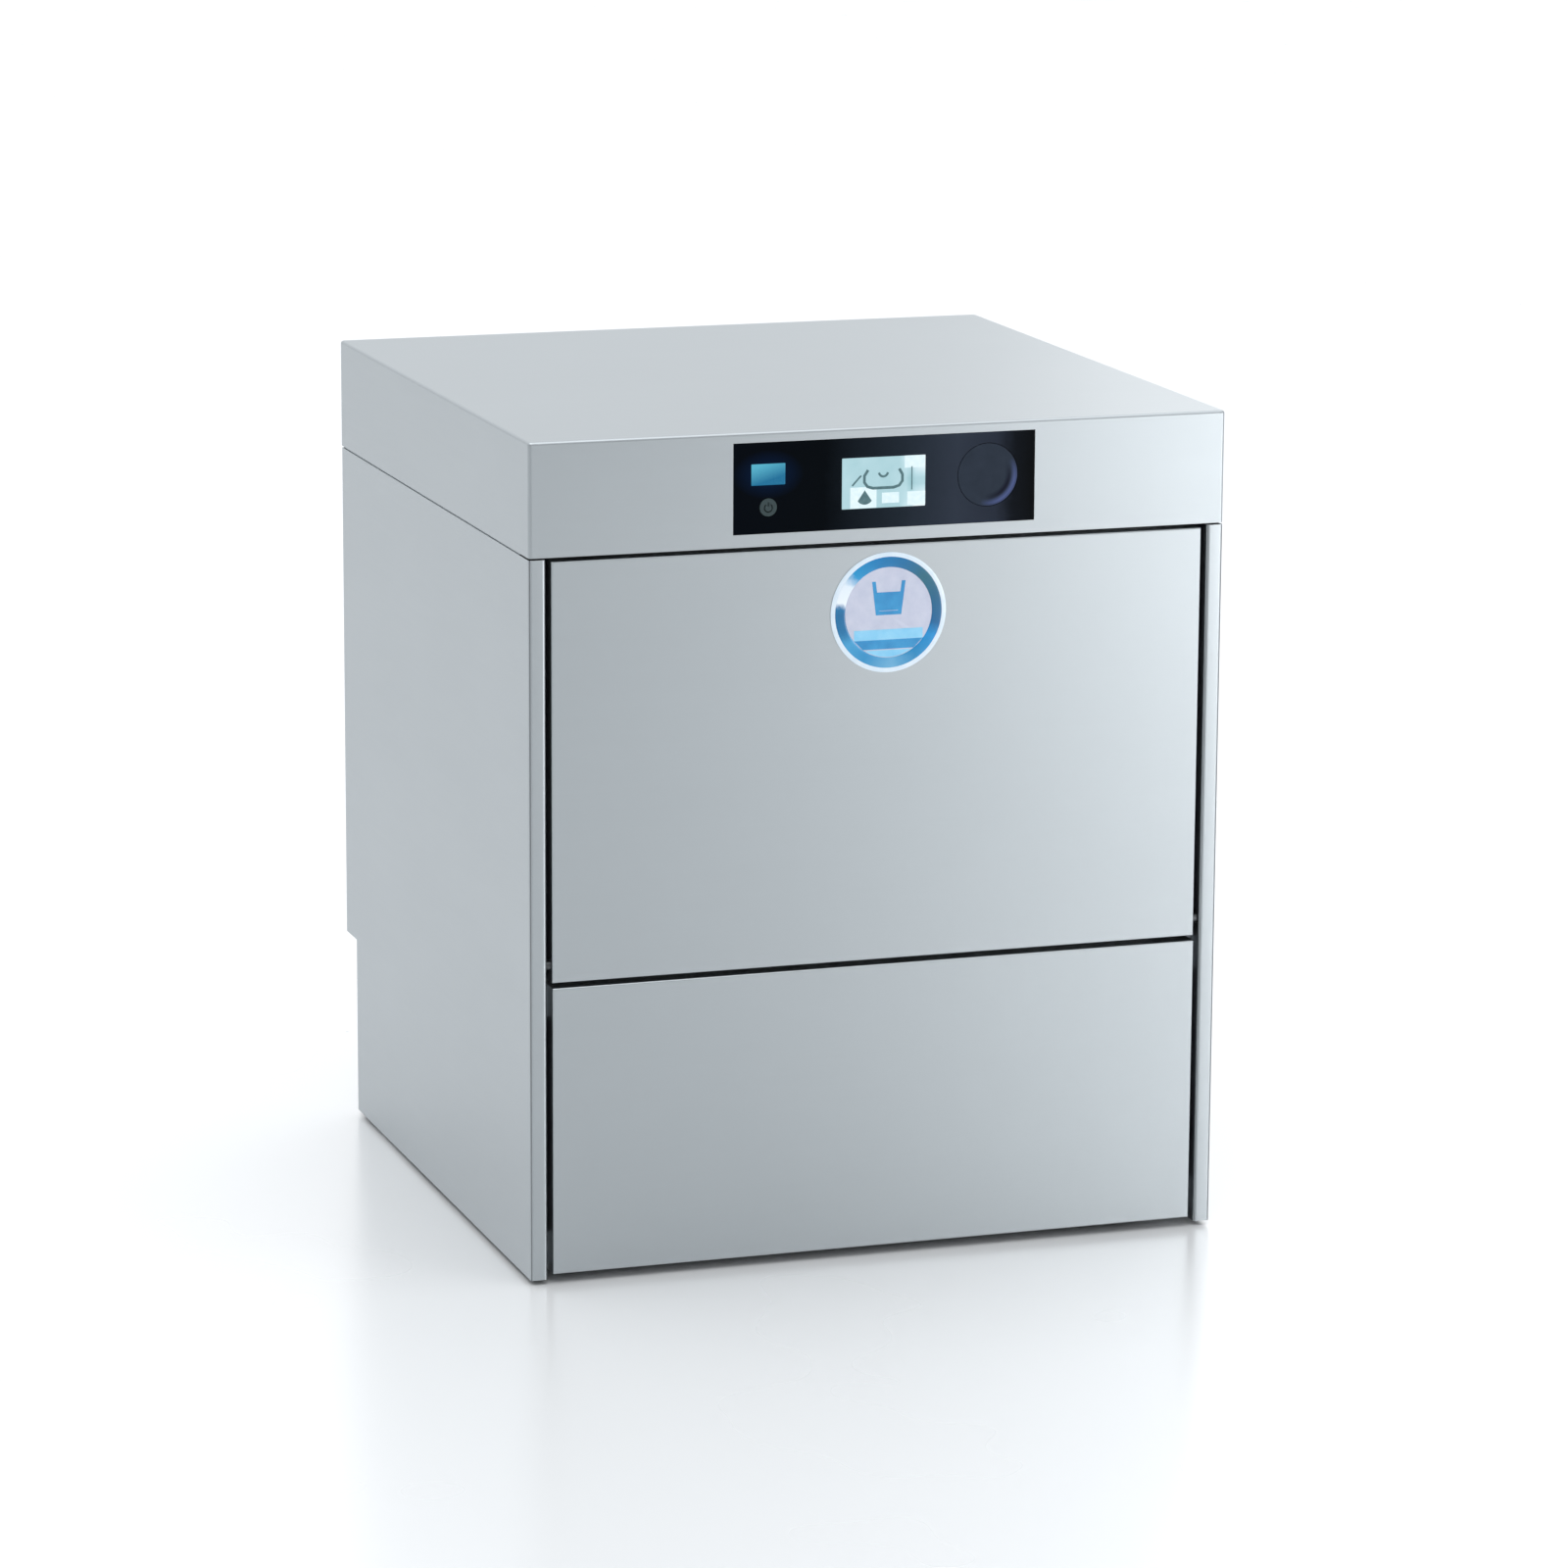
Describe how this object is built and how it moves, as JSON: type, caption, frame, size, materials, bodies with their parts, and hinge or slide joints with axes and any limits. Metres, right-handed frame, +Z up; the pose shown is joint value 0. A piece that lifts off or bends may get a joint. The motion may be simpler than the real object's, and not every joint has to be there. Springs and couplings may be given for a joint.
{
  "type": "glass washer machine",
  "caption": "Undercounter glass washer: steel cabinet, drop-down door, wash chamber with spinning spray arms, pumps, boiler and control fascia.",
  "frame": {"origin": "centre of the footprint, on the floor", "axes": "+Z up, door faces -Y, +X to the right seen from the front"},
  "size_m": [0.6, 0.6, 0.7],
  "materials": {
    "stainless_steel": "satin",
    "galvanised_steel": "satin",
    "bright_steel": "satin",
    "cast_aluminium": "matte",
    "brass_and_shaft": "satin",
    "heater_metal": "satin",
    "black_plastic": "matte",
    "white_plastic": "matte",
    "blue_plastic": "satin",
    "black_rubber": "matte",
    "black_glass": "gloss",
    "green_board": "satin",
    "lit_display": "gloss",
    "lit_blue": "gloss",
    "dark_key": "gloss",
    "mineral_wool": "matte",
    "badge_enamel": "gloss"
  },
  "bodies": {
    "cabinet": {"arm_caps": "blue_plastic", "arm_spindles": "white_plastic", "balance_springs": "bright_steel", "base_tray": "galvanised_steel", "boiler": "stainless_steel", "boiler_heater": "heater_metal", "break_tank": "white_plastic", "chamber_front": "stainless_steel", "control_board": "green_board", "control_box": "white_plastic", "control_carrier": "black_plastic", "control_glass": "black_glass", "door_seal": "black_rubber", "door_switch": "black_plastic", "dosing_pumps": "white_plastic", "drain_hoses": "black_rubber", "drain_outlet": "black_plastic", "drain_pump": "black_plastic", "filter_basket": "stainless_steel", "front_frame": "galvanised_steel", "hinge_brackets": "galvanised_steel", "inlet_valve": "white_plastic", "lcd_display": "lit_display", "left_side_panel": "stainless_steel", "lower_front_panel": "stainless_steel", "lower_rear_panel": "stainless_steel", "mains_gland": "black_plastic", "rack_rails": "stainless_steel", "rear_panel": "stainless_steel", "rear_screws": "bright_steel", "right_side_panel": "stainless_steel", "status_light": "lit_blue", "strainers": "stainless_steel", "sump": "stainless_steel", "tank_heater": "heater_metal", "top_cover": "stainless_steel", "wash_chamber": "stainless_steel", "wash_pipes": "black_rubber", "wash_pump_motor": "cast_aluminium", "wash_pump_volute": "black_plastic", "water_hoses": "blue_plastic", "wiring_loom": "black_rubber"},
    "door": {"door_skin": "stainless_steel", "door_liner": "stainless_steel", "door_insulation": "mineral_wool", "door_badge": "badge_enamel", "hinge_arms": "galvanised_steel", "hinge_pins": "bright_steel"},
    "lower_wash_arm": {"lower_wash_arm": "stainless_steel"},
    "lower_rinse_arm": {"lower_rinse_arm": "stainless_steel"},
    "upper_wash_arm": {"upper_wash_arm": "stainless_steel"},
    "upper_rinse_arm": {"upper_rinse_arm": "stainless_steel"},
    "wash_pump_rotor": {"wash_pump_rotor": "brass_and_shaft"},
    "drain_pump_rotor": {"drain_pump_rotor": "brass_and_shaft"},
    "detergent_rotor": {"detergent_rotor": "blue_plastic"},
    "rinse_aid_rotor": {"rinse_aid_rotor": "blue_plastic"},
    "start_key": {"start_key": "dark_key"},
    "power_key": {"power_key": "dark_key"},
    "levelling_feet": {"levelling_feet": "black_plastic"},
    "balance_straps": {"balance_straps": "bright_steel"}
  },
  "joints": [
    {"name": "door_hinge", "type": "hinge", "parent": "cabinet", "child": "door", "pos_m": [0, -0.292, 0.268], "axis": [1, 0, 0], "range_deg": [0, 90], "stiffness_Nm_per_rad": 5},
    {"name": "balance_travel", "type": "slide", "parent": "cabinet", "child": "balance_straps", "axis": [0, 0, 1], "range_m": [0, 0.048], "deforming": ["balance_springs"]},
    {"name": "lower_wash_spin", "type": "hinge", "parent": "cabinet", "child": "lower_wash_arm", "pos_m": [0, 0, 0.27], "axis": [0, 0, 1], "continuous": true},
    {"name": "lower_rinse_spin", "type": "hinge", "parent": "cabinet", "child": "lower_rinse_arm", "pos_m": [0, 0, 0.286], "axis": [0, 0, 1], "continuous": true},
    {"name": "upper_wash_spin", "type": "hinge", "parent": "cabinet", "child": "upper_wash_arm", "pos_m": [0, 0, 0.625], "axis": [0, 0, 1], "continuous": true},
    {"name": "upper_rinse_spin", "type": "hinge", "parent": "cabinet", "child": "upper_rinse_arm", "pos_m": [0, 0, 0.608], "axis": [0, 0, 1], "continuous": true},
    {"name": "wash_pump_spin", "type": "hinge", "parent": "cabinet", "child": "wash_pump_rotor", "pos_m": [0, 0.035, 0.095], "axis": [1, 0, 0], "continuous": true},
    {"name": "drain_pump_spin", "type": "hinge", "parent": "cabinet", "child": "drain_pump_rotor", "pos_m": [-0.188, -0.12, 0.06], "axis": [1, 0, 0], "continuous": true},
    {"name": "detergent_spin", "type": "hinge", "parent": "cabinet", "child": "detergent_rotor", "pos_m": [-0.205, -0.222, 0.095], "axis": [0, 1, 0], "continuous": true},
    {"name": "rinse_aid_spin", "type": "hinge", "parent": "cabinet", "child": "rinse_aid_rotor", "pos_m": [-0.135, -0.222, 0.095], "axis": [0, 1, 0], "continuous": true},
    {"name": "start_press", "type": "slide", "parent": "cabinet", "child": "start_key", "axis": [0, 1, 0], "range_m": [0, 0.0015], "stiffness_N_per_m": 400, "springref_m": -0.001},
    {"name": "power_press", "type": "slide", "parent": "cabinet", "child": "power_key", "axis": [0, 1, 0], "range_m": [0, 0.0015], "stiffness_N_per_m": 200, "springref_m": -0.001},
    {"name": "feet_screw", "type": "slide", "parent": "cabinet", "child": "levelling_feet", "axis": [0, 0, 1], "range_m": [-0.02, 0]}
  ],
  "couplings": [
    {"joint": "balance_travel", "follows": "door_hinge", "m_per_rad": 0.03}
  ]
}
